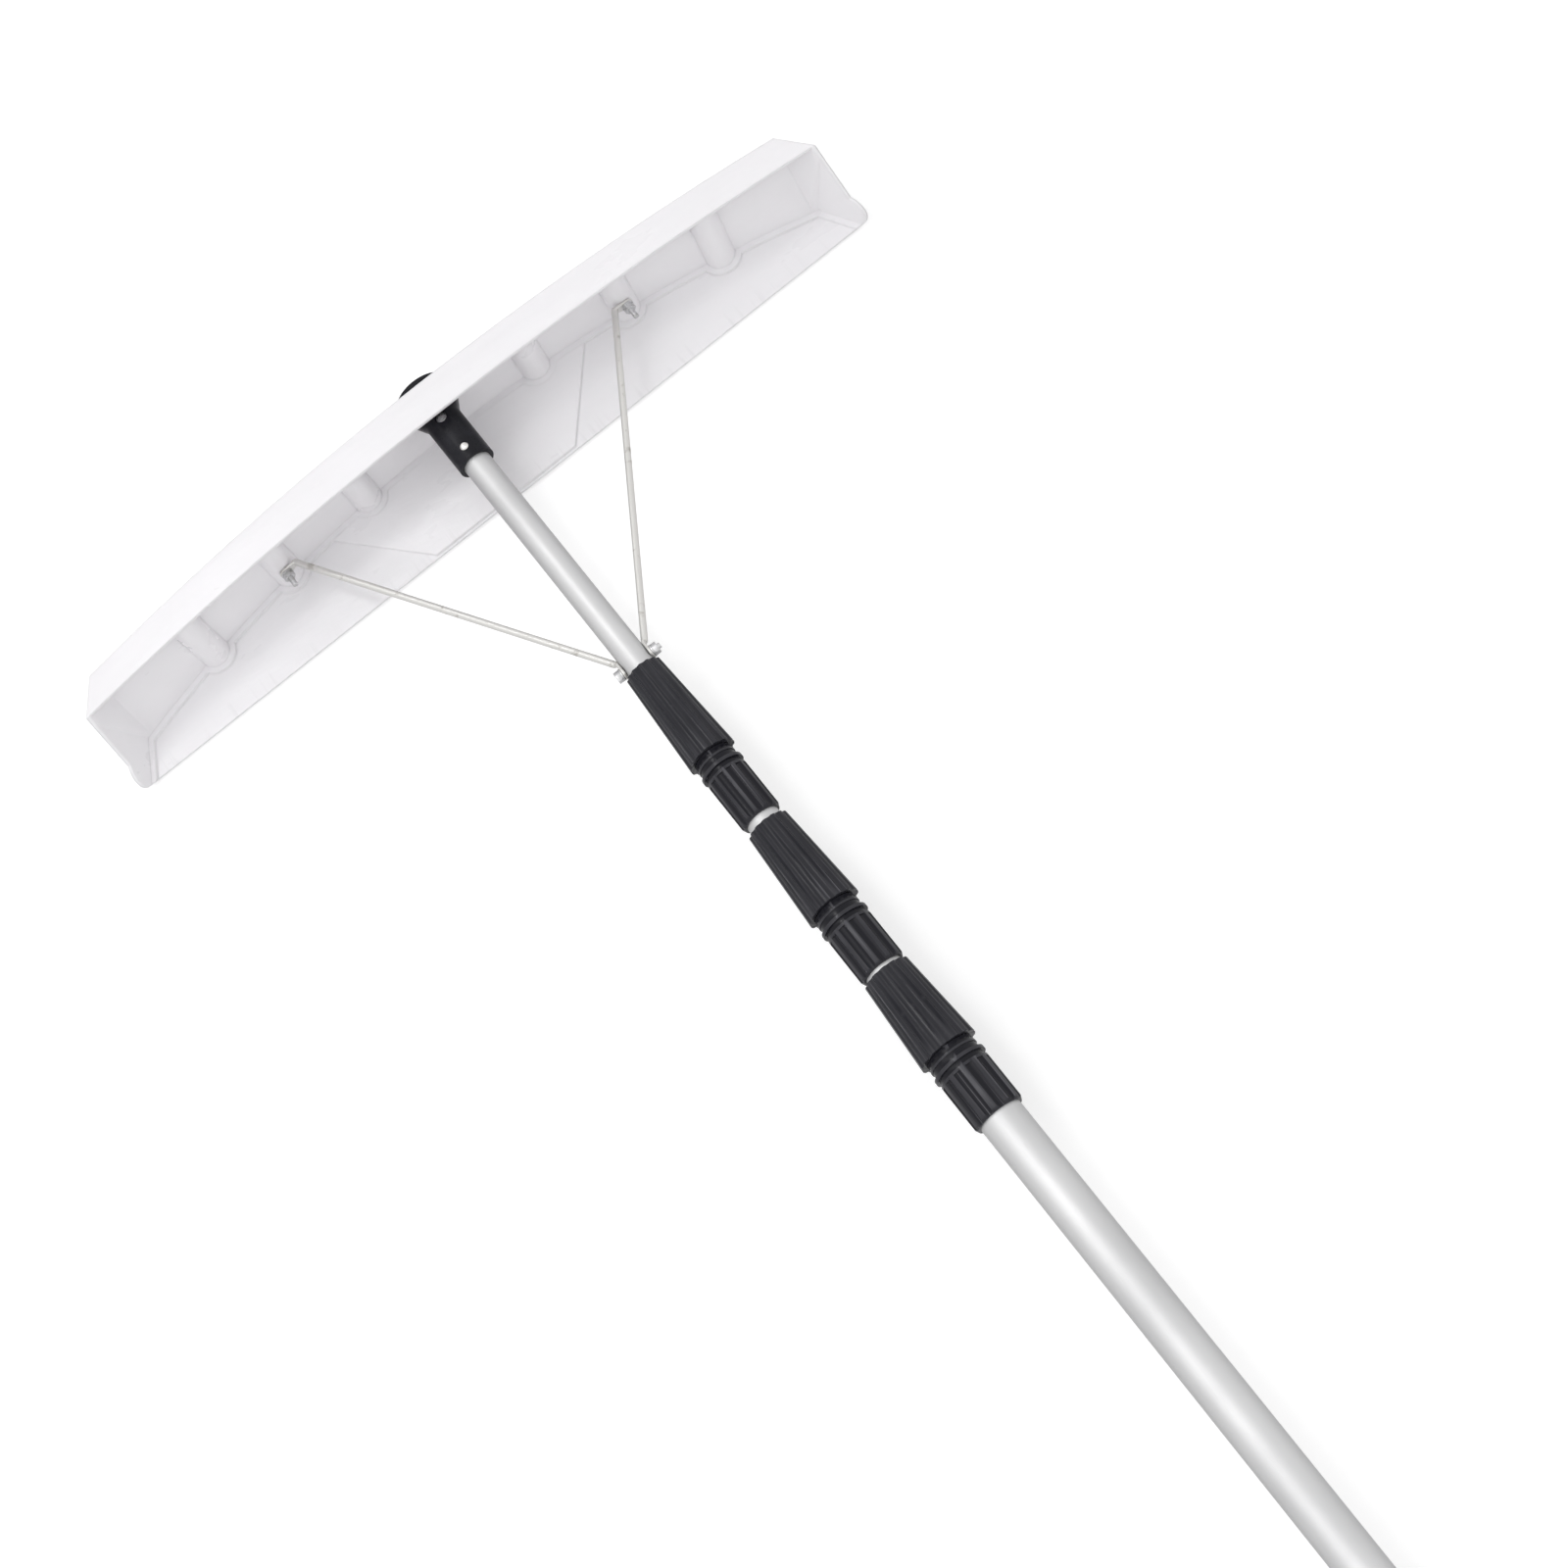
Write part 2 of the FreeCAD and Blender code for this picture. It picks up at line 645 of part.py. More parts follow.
def flat_tab(centre, towards, normal, length):
    """Flattened rod end: a round eye and the strip that leads out of it."""
    thickness = size("eye_thickness")
    half = size("eye_width") / 2
    start = centre - normal * (thickness / 2)
    eye = Part.makeCylinder(half, thickness, start, normal)
    across = normal.cross(towards).normalize()
    narrow = across * (half * size("tab_share"))
    corners = [across * -half, towards * length - narrow, towards * length + narrow, across * half]
    corners = [start + corner for corner in corners]
    strip = Part.Face(Part.makePolygon(corners + corners[:1])).extrude(normal * thickness)
    return eye.fuse(strip)


def brace(label, side):
    """Steel rod from a flute to the bolt through the pole, flattened and bent at both ends."""
    thickness = size("eye_thickness")
    rod = size("brace_diameter") / 2
    wall_eye = crest(side) - Vector(0, thickness / 2, 0)
    pole_x = side * (read(tube_radius(1)) + thickness / 2)
    pole_eye = Vector(pole_x, -size("cross_station"), size("pole_height"))
    wall_lead = Vector(-side, 0, size("wall_rise")).normalize()
    pole_lead = Vector(0, 1, -size("pole_dip")).normalize()
    lead = size("eye_width")
    near = wall_eye + wall_lead * lead
    off_pole = side * (rod - thickness / 2 + size("seat_gap"))
    far = pole_eye + pole_lead * lead + Vector(off_pole, 0, 0)
    along = far - near
    shape = flat_tab(wall_eye, wall_lead, Vector(0, 1, 0), lead)
    shape = shape.fuse(flat_tab(pole_eye, pole_lead, Vector(1, 0, 0), lead))
    shape = shape.fuse(Part.makeCylinder(rod, along.Length, near, along))
    shape = shape.fuse(Part.makeSphere(rod, near)).fuse(Part.makeSphere(rod, far))
    hole = size("bolt_radius") + size("bolt_gap")
    for centre, axis in ((wall_eye, Vector(0, 1, 0)), (pole_eye, Vector(1, 0, 0))):
        shape = shape.cut(Part.makeCylinder(hole, 2 * rod, centre - axis * rod, axis))
    thing = doc.addObject("Part::Feature", label)
    thing.Shape = shape.removeSplitter().Solids[0]
    return node(label, thing)


def wall_fasteners():
    """Two bolts through the flutes, each with a washer and a nut on the user's side."""
    screws = []
    washers = []
    nuts = []
    channel = size("flute_width") / 2 - size("wall_thickness")
    head = size("head_share") * size("bolt_radius")
    stack = size("eye_thickness") + size("washer_thickness") + size("nut_height")
    sink = channel - math.sqrt(channel**2 - head**2)
    for name, side in (("left", -1), ("right", 1)):
        point = crest(side)
        seat = point.y + size("wall_thickness") + sink + size("seat_gap")
        bolt = doc.addObject("Part::Feature", f"blade_bolt_{name}")
        length = seat - point.y + stack + size("wall_bolt_stub")
        along = Vector(0, -1, 0)
        shank = Part.makeCylinder(size("bolt_radius"), length, Vector(point.x, seat, point.z), along)
        head_start = Vector(point.x, seat + size("nut_height") / 2, point.z)
        bolt.Shape = shank.fuse(Part.makeCylinder(head, size("nut_height") / 2, head_start, along))
        screws.append(bolt)
        washer_y = point.y - size("eye_thickness")
        nut_y = washer_y - size("washer_thickness")
        washer_base = [repr(v) for v in (point.x, washer_y, point.z)]
        nut_base = [repr(v) for v in (point.x, nut_y, point.z)]
        washers.append(washer(f"blade_washer_{name}", washer_base, TO_HANDLE))
        nuts.append(hex_nut(f"blade_nut_{name}", nut_base, TO_HANDLE))
    group("blade_bolts", screws)
    group("blade_washers", washers)
    group("blade_nuts", nuts)


def pole_fasteners():
    """Bolt through the pole and both braces."""
    station = "-dims.cross_station"
    level = "dims.pole_height"
    face = f"({tube_radius(1)} + dims.eye_thickness + dims.washer_thickness)"
    shank = primitive("Part::Cylinder", "cross_bolt_shank", {
        "Radius": "dims.bolt_radius",
        "Height": f"2 * {face} + dims.nut_height + dims.bolt_stub",
    }, (f"-{face}", station, level), TO_RIGHT)
    head = primitive("Part::Prism", "cross_bolt_head", {
        "Circumradius": "dims.nut_flats / sqrt(3)",
        "Height": "dims.nut_height",
    }, (f"-{face} - dims.nut_height", station, level), TO_RIGHT)
    node("cross_bolt", boolean("Part::Fuse", "cross_bolt", shank, head))
    node("cross_nut", hex_nut("cross_nut", (face, station, level), TO_RIGHT))
    group("cross_washers", [
        washer("cross_washer_left", (f"-{face}", station, level), TO_RIGHT),
        washer("cross_washer_right", (f"{face} - dims.washer_thickness", station, level), TO_RIGHT),
    ])


# ---------------------------------------------------------------- pole

COLLARS = ("one", "two", "three")


def nut_end(word):
    return f"(dims.collar_{word} + dims.nut_length_{word})"


def grip_start(word):
    return f"({nut_end(word)} + dims.neck_length)"


def neck_front(word):
    return f"({nut_end(word)} - dims.thread_cover)"


def tube_end(number):
    """Station of a tube's far end: each inner tube stops short of the next larger one."""
    if number == 4:
        return "dims.handle_end"
    return f"(dims.handle_end - dims.cap_length - {4 - number} * dims.tube_stagger)"


def tube(number):
    """Drawn aluminium tube, seated in the socket or in the grip of its collar."""
    label = "handle_tube" if number == 4 else f"section_{number}_tube"
    start = "dims.tube_seat" if number == 1 else grip_start(COLLARS[number - 2])
    outer = tube_radius(number)
    inner = bore_radius(number)
    end = tube_end(number)
    if number == 1:
        outline = [(inner, start), (outer, start), (outer, end), (inner, end)]
    else:
        word = COLLARS[number - 2]
        shoulder = f"{grip_start(word)} + dims.grip_length_{word}"
        seat = f"{outer} - dims.seat_turning"
        outline = [
            (inner, start), (seat, start), (seat, shoulder),
            (outer, shoulder), (outer, end), (inner, end),
        ]
    body = turned_body(label, outline)
    if number == 1:
        drill(body, "tube_button_hole", "XY_Plane", ("0", "dims.button_station"),
              "dims.button_radius + dims.bolt_gap")
        drill(body, "tube_screw_hole", "XY_Plane", ("0", "dims.screw_station"), "dims.screw_radius")
        drill(body, "tube_cross_hole", "YZ_Plane", ("dims.cross_station", "0"),
              "dims.bolt_radius + dims.bolt_gap", both_ways=True)
    return node(label, body)


def guide(number):
    """Plastic plug in the far end of an inner tube, which runs in the bore of the next one."""
    end = tube_end(number)
    plug = f"{bore_radius(number)} - dims.seat_gap"
    running = f"{bore_radius(number + 1)} - dims.slide_gap"
    hollow = f"{bore_radius(number)} - 2 * dims.tube_wall"
    return node(f"guide_{number}", turned_body(f"guide_{number}", [
        (hollow, f"{end} - dims.guide_length / 3"),
        (plug, f"{end} - dims.guide_length / 3"),
        (plug, end),
        (running, end),
        (running, f"{end} + dims.guide_length"),
        (hollow, f"{end} + dims.guide_length"),
    ]))


def end_cap():
    """Plug with a rounded head that closes the handle."""
    plug = f"{bore_radius(4)} - dims.seat_gap"
    head = f"{tube_radius(4)} - dims.seat_turning"
    hollow = f"{bore_radius(4)} - 2 * dims.tube_wall"
    return node("handle_end_cap", turned_body("handle_end_cap", [
        (plug, "dims.handle_end - dims.cap_length"),
        (plug, "dims.handle_end"),
        (head, "dims.handle_end"),
        (head, "dims.handle_end + dims.cap_head - dims.cap_edge"),
        (f"{head} - dims.cap_edge", "dims.handle_end + dims.cap_head"),
        ("0", "dims.handle_end + dims.cap_head"),
        ("0", "dims.handle_end"),
        (hollow, "dims.handle_end"),
        (hollow, "dims.handle_end - dims.cap_length"),
    ]))


def fluted(label, blank, kind, front, back):
    """Cuts the long grooves of a grip or nut; front and back are (radius, station)."""
    count = int(size(f"{kind}_flutes"))
    groove = size(f"{kind}_groove_radius")
    out = groove - size(f"{kind}_flute_depth")
    middle = Vector(0, 0, size("pole_height"))
    cutters = []
    for number in range(count):
        turn = Rotation(Vector(0, 1, 0), 360 * (number + 0.5) / count)
        start = turn.multVec(Vector(0, -front[1], front[0] + out)) + middle
        end = turn.multVec(Vector(0, -back[1], back[0] + out)) + middle
        cutters.append(Part.makeCylinder(groove, (end - start).Length, start, end - start))
    grooves = doc.addObject("Part::Feature", f"{label}_grooves")
    grooves.Shape = Part.makeCompound(cutters)
    return node(label, boolean("Part::Cut", label, blank, grooves))


def collar_body(number):
    """Threaded neck, bead, ring and fluted grip in one moulding, fixed on the end of the larger tube."""
    word = COLLARS[number - 1]
    label = f"collar_{number}_body"
    neck = neck_front(word)
    shoulder = f"{nut_end(word)} + dims.thread_gap"
    bead = f"{nut_end(word)} + dims.bead_station"
    ring = f"{nut_end(word)} + dims.ring_station"
    grip = grip_start(word)
    grip_end = f"{grip} + dims.grip_length_{word}"
    through = f"{tube_radius(number)} + dims.thread_gap"
    seat = f"{tube_radius(number + 1)} - dims.seat_turning + dims.seat_gap"
    thread = f"{tube_radius(number + 1)} + dims.thread_over_tube"
    grip_radius = f"{tube_radius(number + 1)} + dims.grip_over_tube"
    neck_radius = f"{grip_radius} - dims.neck_under_grip"
    bead_radius = f"{neck_radius} + dims.bead_over_neck"
    ring_radius = f"{grip_radius} + dims.ring_over_grip"
    blank = turned_body(f"{label}_blank", [
        (through, neck),
        (thread, neck),
        (thread, shoulder),
        (neck_radius, shoulder),
        (neck_radius, bead),
        (bead_radius, bead),
        (bead_radius, f"{bead} + dims.bead_length"),
        (neck_radius, f"{bead} + dims.bead_length"),
        (neck_radius, ring),
        (ring_radius, ring),
        (ring_radius, f"{ring} + dims.ring_length"),
        (neck_radius, f"{ring} + dims.ring_length"),
        (neck_radius, grip),
        (grip_radius, grip),
        (grip_radius, f"{grip_end} - dims.grip_end_slope"),
        (f"{grip_radius} - dims.grip_end_slope / 2", grip_end),
        (seat, grip_end),
        (seat, grip),
        (through, grip),
    ])
    radius = read(grip_radius)
    return fluted(label, blank, "grip", (radius, read(grip) + size("cap_edge")),
                  (radius, read(grip_end) + size("cap_edge")))


def collar_nut(number):
    """Tapered twist nut that turns on the neck and squeezes the collet."""
    word = COLLARS[number - 1]
    label = f"collar_{number}_nut"
    front = f"dims.collar_{word}"
    back = nut_end(word)
    mouth = f"{tube_radius(number)} + dims.nut_mouth"
    collet_room = f"{tube_radius(number)} + dims.slide_gap + dims.collet_thickness + dims.slide_gap"
    thread_room = f"{tube_radius(number + 1)} + dims.thread_over_tube + dims.thread_gap"
    front_radius = f"{tube_radius(number)} + dims.nut_over_tube"
    back_radius = f"{front_radius} + dims.nut_flare"
    room_start = f"{neck_front(word)} - dims.thread_gap - dims.nut_lip"
    blank = turned_body(f"{label}_blank", [
        (mouth, front),
        (front_radius, front),
        (back_radius, back),
        (thread_room, back),
        (thread_room, room_start),
        (collet_room, room_start),
        (collet_room, f"{front} + dims.nut_lip"),
        (mouth, f"{front} + dims.nut_lip"),
    ])
    return fluted(label, blank, "nut", (read(front_radius), read(front) - size("cap_edge")),
                  (read(back_radius), read(back) + size("cap_edge")))


def collet(number):
    """Split nylon sleeve that grips the sliding tube."""
    word = COLLARS[number - 1]
    label = f"collar_{number}_collet"
    inner = f"{tube_radius(number)} + dims.slide_gap"
    outer = f"{inner} + dims.collet_thickness"
    front = f"dims.collar_{word} + dims.nut_lip"
    back = neck_front(word)
    ring = turned_body(f"{label}_ring", [(inner, front), (outer, front), (outer, back), (inner, back)])
    slit = primitive("Part::Box", f"{label}_slit", {
        "Length": "dims.collet_slit",
        "Width": f"{back} - ({front})",
        "Height": f"2 * ({outer})",
    }, ("-dims.collet_slit / 2", f"-({back})", f"dims.pole_height - 2 * ({outer})"))
    return node(label, boolean("Part::Cut", label, ring, slit))


blade()
pole_socket()
back_flange()
flange_fasteners()
socket_screw()
snap_button()
button_spring()
brace("brace_left", -1)
brace("brace_right", 1)
wall_fasteners()
pole_fasteners()
for section in (1, 2, 3, 4):
    tube(section)
for section in (1, 2, 3):
    guide(section)
    collar_body(section)
    collar_nut(section)
    collet(section)
end_cap()
doc.recompute()

for thing in doc.Objects:
    if "Invalid" in thing.State or "Error" in thing.State:
        raise RuntimeError(f"{thing.Name} did not build")
for thing in NODES:
    if thing.Shape.isNull() or not thing.Shape.isValid():
        raise RuntimeError(f"{thing.Label} has no valid shape")

os.makedirs("parts", exist_ok=True)
for thing in NODES:
    thing.Shape.exportStep(f"parts/{thing.Label}.step")
    solids = len(thing.Shape.Solids)
    print(f"{thing.Label}: {solids} solid(s), {thing.Shape.Volume / 1000:.2f} cm3")
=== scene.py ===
import bpy
import json
from math import radians
from mathutils import Matrix, Vector

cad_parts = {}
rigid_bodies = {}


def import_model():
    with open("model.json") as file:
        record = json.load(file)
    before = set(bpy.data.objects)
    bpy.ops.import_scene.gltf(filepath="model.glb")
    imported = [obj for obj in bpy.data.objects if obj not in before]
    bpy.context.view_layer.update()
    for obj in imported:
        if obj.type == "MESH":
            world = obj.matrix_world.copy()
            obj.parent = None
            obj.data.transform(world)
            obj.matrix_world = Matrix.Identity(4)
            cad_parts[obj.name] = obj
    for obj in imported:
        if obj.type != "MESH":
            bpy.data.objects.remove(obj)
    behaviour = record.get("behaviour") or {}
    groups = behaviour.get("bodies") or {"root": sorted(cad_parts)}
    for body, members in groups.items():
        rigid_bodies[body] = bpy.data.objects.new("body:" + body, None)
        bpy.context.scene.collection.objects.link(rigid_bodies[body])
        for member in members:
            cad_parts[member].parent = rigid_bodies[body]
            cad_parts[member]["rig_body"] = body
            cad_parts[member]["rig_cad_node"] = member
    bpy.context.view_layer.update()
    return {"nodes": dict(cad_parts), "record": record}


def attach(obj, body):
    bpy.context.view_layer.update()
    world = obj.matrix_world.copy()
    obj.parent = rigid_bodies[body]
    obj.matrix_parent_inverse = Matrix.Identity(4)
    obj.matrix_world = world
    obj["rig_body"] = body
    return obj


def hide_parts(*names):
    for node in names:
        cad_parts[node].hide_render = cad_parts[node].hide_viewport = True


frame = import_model()
nodes = frame["nodes"]

# ---------------------------------------------------------------------------------------------
# Camera: a long lens over the blade's user side, looking down the pole from above the handle.
# It is rolled so that the blade runs up to the right and the pole down to the right.
lens_mm = 68.4
camera_tilt = radians(21.694)
camera_swing = radians(-1.532)
camera_roll = radians(-39.005)
camera_place = Vector((-0.0230, -1.1061, 1.8492))

bpy.ops.object.camera_add(location=camera_place)
camera = bpy.context.object
camera.rotation_euler = (
    Matrix.Rotation(camera_swing, 3, "Y")
    @ Matrix.Rotation(camera_tilt, 3, "X")
    @ Matrix.Rotation(camera_roll, 3, "Z")
).to_euler()
camera.data.sensor_width = 36
camera.data.lens = lens_mm
bpy.context.scene.camera = camera

# ---------------------------------------------------------------------------------------------
# Studio: a white floor that keeps the rake's soft shadow, a white surround for the camera and
# for reflections, and large soft lamps. The floor is lifted to white where it is looked at, and
# not where it lights the rake.
ambient = 0.76
floor_size = 14
floor_white = 0.80
floor_lift = 0.34
floor_rough = 0.9
floor_below = 0.0006


def show_to(tree, rays):
    """Gives a socket that is 1 for the named kinds of ray and 0 for the others."""
    path = tree.nodes.new("ShaderNodeLightPath")
    seen = path.outputs[rays[0]]
    for ray in rays[1:]:
        either = tree.nodes.new("ShaderNodeMath")
        either.operation = "MAXIMUM"
        tree.links.new(seen, either.inputs[0])
        tree.links.new(path.outputs[ray], either.inputs[1])
        seen = either.outputs[0]
    return seen


bpy.ops.object.select_all(action="DESELECT")
bpy.ops.mesh.primitive_plane_add(size=floor_size, location=(0, -1, -floor_below))
floor = bpy.context.object
floor.name = "floor"
floor_material = bpy.data.materials.new("floor_white")
floor_material.use_nodes = True
tree = floor_material.node_tree
paint = tree.nodes["Principled BSDF"]
paint.inputs["Base Color"].default_value = (floor_white, floor_white, floor_white, 1)
paint.inputs["Roughness"].default_value = floor_rough
glow = tree.nodes.new("ShaderNodeEmission")
lift = tree.nodes.new("ShaderNodeMath")
lift.operation = "MULTIPLY"
lift.inputs[1].default_value = floor_lift
both = tree.nodes.new("ShaderNodeAddShader")
seen = show_to(tree, ("Is Camera Ray", "Is Transmission Ray"))
tree.links.new(seen, lift.inputs[0])
tree.links.new(lift.outputs[0], glow.inputs["Strength"])
tree.links.new(paint.outputs[0], both.inputs[0])
tree.links.new(glow.outputs[0], both.inputs[1])
tree.links.new(both.outputs[0], tree.nodes["Material Output"].inputs["Surface"])
floor.data.materials.append(floor_material)

world = bpy.data.worlds.new("surround")
bpy.context.scene.world = world
world.use_nodes = True
tree = world.node_tree
level = tree.nodes.new("ShaderNodeMath")
level.operation = "MAXIMUM"
level.inputs[1].default_value = ambient
seen = show_to(tree, ("Is Camera Ray", "Is Glossy Ray", "Is Transmission Ray"))
tree.links.new(seen, level.inputs[0])
tree.links.new(level.outputs[0], tree.nodes["Background"].inputs["Strength"])
tree.nodes["Background"].inputs["Color"].default_value = (1, 1, 1, 1)

for name, place, aim, lamp_size, watts in (
    ("key_lamp", (-0.7, -0.7, 2.3), (0, -0.2, 0), 2.4, 13.5),
    ("strip_lamp", (-0.45, 0.35, 2.15), (-0.05, -0.3, 0), 0.45, 3.6),
    ("lip_lamp", (-0.55, 1.25, 2.2), (-0.15, 0, 0), 0.5, 3),
    ("side_lamp", (-1.3, -0.5, 1.8), (-0.2, 0, 0), 1.4, 2.2),
    ("fill_lamp", (1.8, -1.6, 2.2), (0, -0.4, 0), 2.0, 2),
):
    bpy.ops.object.light_add(type="AREA", location=place)
    lamp = bpy.context.object
    lamp.name = name
    lamp.data.size = lamp_size
    lamp.data.energy = watts
    lamp.rotation_euler = (Vector(aim) - Vector(place)).to_track_quat("-Z", "Y").to_euler()

bpy.context.scene.view_settings.view_transform = "Standard"

# ---------------------------------------------------------------------------------------------
# Blade: one wide scoop moulded in white polypropylene, with an arched back wall, six flutes, a
# flat lip, a step round the wall's foot and a shallow raised panel. The mould leaves soft edges
# and faint flow marks, and the scraping edge is scuffed.
blade_colour = (0.85, 0.838, 0.858)
blade_scuffed = (0.74, 0.73, 0.745)
blade_rounding = 0.0012
blade_fillet = 0.0017
blade_depth = 0.004
scuff_start = -0.058
scuff_full = -0.074
scuff_top = 0.005
scuff_gone = 0.007
weld_distance = 2e-6
flat_angle = radians(0.5)
carriers = {
    member: body
    for body, members in frame["record"]["behaviour"]["bodies"].items() for member in members
}
slots = {piece["node"]: piece["material_slot"] for piece in frame["record"]["subparts"]}
finishes = {}


def add_node(tree, kind, settings, links):
    """Adds a shader node; settings and links are by property or input name."""
    made = tree.nodes.new(kind)
    for key, value in settings.items():
        if hasattr(made, key):
            setattr(made, key, value)
        else:
            made.inputs[key].default_value = value
    for key, source in links.items():
        tree.links.new(source, made.inputs[key])
    return made


def pattern(tree, stretch, scale, detail=3.0):
    """Noise over the object's own coordinates, stretched along its axes."""
    place = add_node(tree, "ShaderNodeTexCoord", {}, {})
    turned = add_node(tree, "ShaderNodeMapping", {}, {"Vector": place.outputs["Object"]})
    turned.inputs["Scale"].default_value = stretch
    noise = add_node(tree, "ShaderNodeTexNoise", {"Scale": scale, "Detail": detail},
                     {"Vector": turned.outputs[0]})
    return noise.outputs["Fac"]


def spread(tree, source, low, high, to_low, to_high):
    """Maps a pattern's range onto another, held at both ends."""
    mapped = add_node(tree, "ShaderNodeMapRange", {}, {"Value": source})
    ends = {"From Min": low, "From Max": high, "To Min": to_low, "To Max": to_high}
    for key, value in ends.items():
        mapped.inputs[key].default_value = value
    return mapped.outputs[0]


def tint(tree, share, plain, shifted):
    """Colour between two, by a share from 0 to 1."""
    mixed = add_node(tree, "ShaderNodeMix", {"data_type": "RGBA"}, {})
    tree.links.new(share, mixed.inputs["Factor"])
    for socket in mixed.inputs:
        if socket.type == "RGBA":
            socket.default_value = (*(plain if socket.identifier.startswith("A") else shifted), 1)
    return next(out for out in mixed.outputs if out.type == "RGBA")


def surface(slot, metallic, gloss):
    """A material for one slot of the record, with its shader's plain numbers set."""
    material = bpy.data.materials.new(slot)
    material.use_nodes = True
    shader = material.node_tree.nodes["Principled BSDF"]
    shader.inputs["Metallic"].default_value = metallic
    shader.inputs["Specular IOR Level"].default_value = gloss
    finishes[slot] = material
    return material.node_tree, shader


def dress(tree, shader, colour, roughness, heights, fillet=0):
    """Links colour, roughness and a stack of (pattern, depth in metres) bumps.

    A fillet in metres softens the shading of every edge, inside corners as well.
    """
    tree.links.new(colour, shader.inputs["Base Color"])
    tree.links.new(roughness, shader.inputs["Roughness"])
    below = None
    if fillet:
        eased = add_node(tree, "ShaderNodeBevel", {"samples": 4, "Radius": fillet}, {})
        below = eased.outputs[0]
    for height, depth in heights:
        links = {"Height": height}
        if below:
            links["Normal"] = below
        bump = add_node(tree, "ShaderNodeBump", {"Distance": depth, "Strength": 1.0}, links)
        below = bump.outputs[0]
    tree.links.new(below, shader.inputs["Normal"])


def take_over(piece, name, *replaced):
    """Makes a finished piece stand for CAD nodes: their body, slot and finish."""
    node = replaced[0]
    piece.name = name
    piece.data.name = name
    piece.data.materials.clear()
    piece.data.materials.append(finishes[slots[node]])
    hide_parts(*replaced)
    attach(piece, carriers[node])


def merged_copy(node):
    """A copy of a CAD node with its loose triangles joined into clean faces."""
    bpy.ops.object.select_all(action="DESELECT")
    nodes[node].select_set(True)
    bpy.context.view_layer.objects.active = nodes[node]
    bpy.ops.object.duplicate()
    copy = bpy.context.object
    copy.parent = None
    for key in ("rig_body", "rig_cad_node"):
        if key in copy:
            del copy[key]
    bpy.ops.object.mode_set(mode="EDIT")
    bpy.ops.mesh.select_all(action="SELECT")
    bpy.ops.mesh.remove_doubles(threshold=weld_distance)
    bpy.ops.mesh.customdata_custom_splitnormals_clear()
    bpy.ops.mesh.dissolve_limited(angle_limit=flat_angle)
    bpy.ops.object.mode_set(mode="OBJECT")
    return copy


def round_edges(piece, width, rings=3, sharper=28, smooth=35):
    """Rounds every edge sharper than an angle in degrees, as a mould or a die leaves it.

    The width is held back where edges lie close together.
    """
    bpy.context.view_layer.objects.active = piece
    rounding = piece.modifiers.new("rounding", "BEVEL")
    rounding.width = width
    rounding.segments = rings
    rounding.limit_method = "ANGLE"
    rounding.angle_limit = radians(sharper)
    rounding.miter_outer = "MITER_ARC"
    rounding.use_clamp_overlap = True
    bpy.ops.object.modifier_apply(modifier="rounding")
    bpy.ops.object.select_all(action="DESELECT")
    piece.select_set(True)
    bpy.ops.object.shade_smooth_by_angle(angle=radians(smooth))


tree, shader = surface("blade_plastic", metallic=0.0, gloss=0.45)
shader.inputs["Subsurface Weight"].default_value = 0.2
shader.inputs["Subsurface Radius"].default_value = (1.0, 0.9, 0.95)
shader.inputs["Subsurface Scale"].default_value = blade_depth
flow = pattern(tree, stretch=(3, 9, 6), scale=5.0, detail=4.0)
grain = pattern(tree, stretch=(1, 1, 1), scale=900, detail=2.0)
streaks = pattern(tree, stretch=(260, 9, 60), scale=1.0, detail=5.0)
place = add_node(tree, "ShaderNodeTexCoord", {}, {})
axes = add_node(tree, "ShaderNodeSeparateXYZ", {}, {"Vector": place.outputs["Object"]})
near_edge = spread(tree, axes.outputs["Y"], scuff_start, scuff_full, 0, 1)
on_plate = spread(tree, axes.outputs["Z"], scuff_top, scuff_gone, 1, 0)
scuffed_zone = add_node(tree, "ShaderNodeMath", {"operation": "MULTIPLY"}, {})
tree.links.new(near_edge, scuffed_zone.inputs[0])
tree.links.new(on_plate, scuffed_zone.inputs[1])
scuffs = add_node(tree, "ShaderNodeMath", {"operation": "MULTIPLY"}, {})
tree.links.new(scuffed_zone.outputs[0], scuffs.inputs[0])
tree.links.new(spread(tree, streaks, 0.52, 0.70, 0, 0.55), scuffs.inputs[1])
flow_share = spread(tree, flow, 0.35, 0.68, 0, 0.12)
shifted = add_node(tree, "ShaderNodeMath", {"operation": "MAXIMUM"}, {})
tree.links.new(flow_share, shifted.inputs[0])
tree.links.new(scuffs.outputs[0], shifted.inputs[1])
dress(
    tree, shader,
    tint(tree, shifted.outputs[0], blade_colour, blade_scuffed),
    spread(tree, flow, 0.3, 0.7, 0.26, 0.36),
    ((flow, 0.0012), (grain, 0.00003), (scuffs.outputs[0], 0.0001)),
    fillet=blade_fillet,
)

blade = merged_copy("blade")
round_edges(blade, blade_rounding, rings=4)
take_over(blade, "scoop_blade", "blade")

# ---------------------------------------------------------------------------------------------
# Socket and flange: a flared black nylon socket stands on the wall and holds the first tube. A
# domed flange behind the wall plugs through into it. The handle's end cap is the same nylon,
# and all three have a fine spark-eroded grain.
nylon_black = (0.008, 0.008, 0.011)
nylon_rubbed = (0.018, 0.018, 0.023)

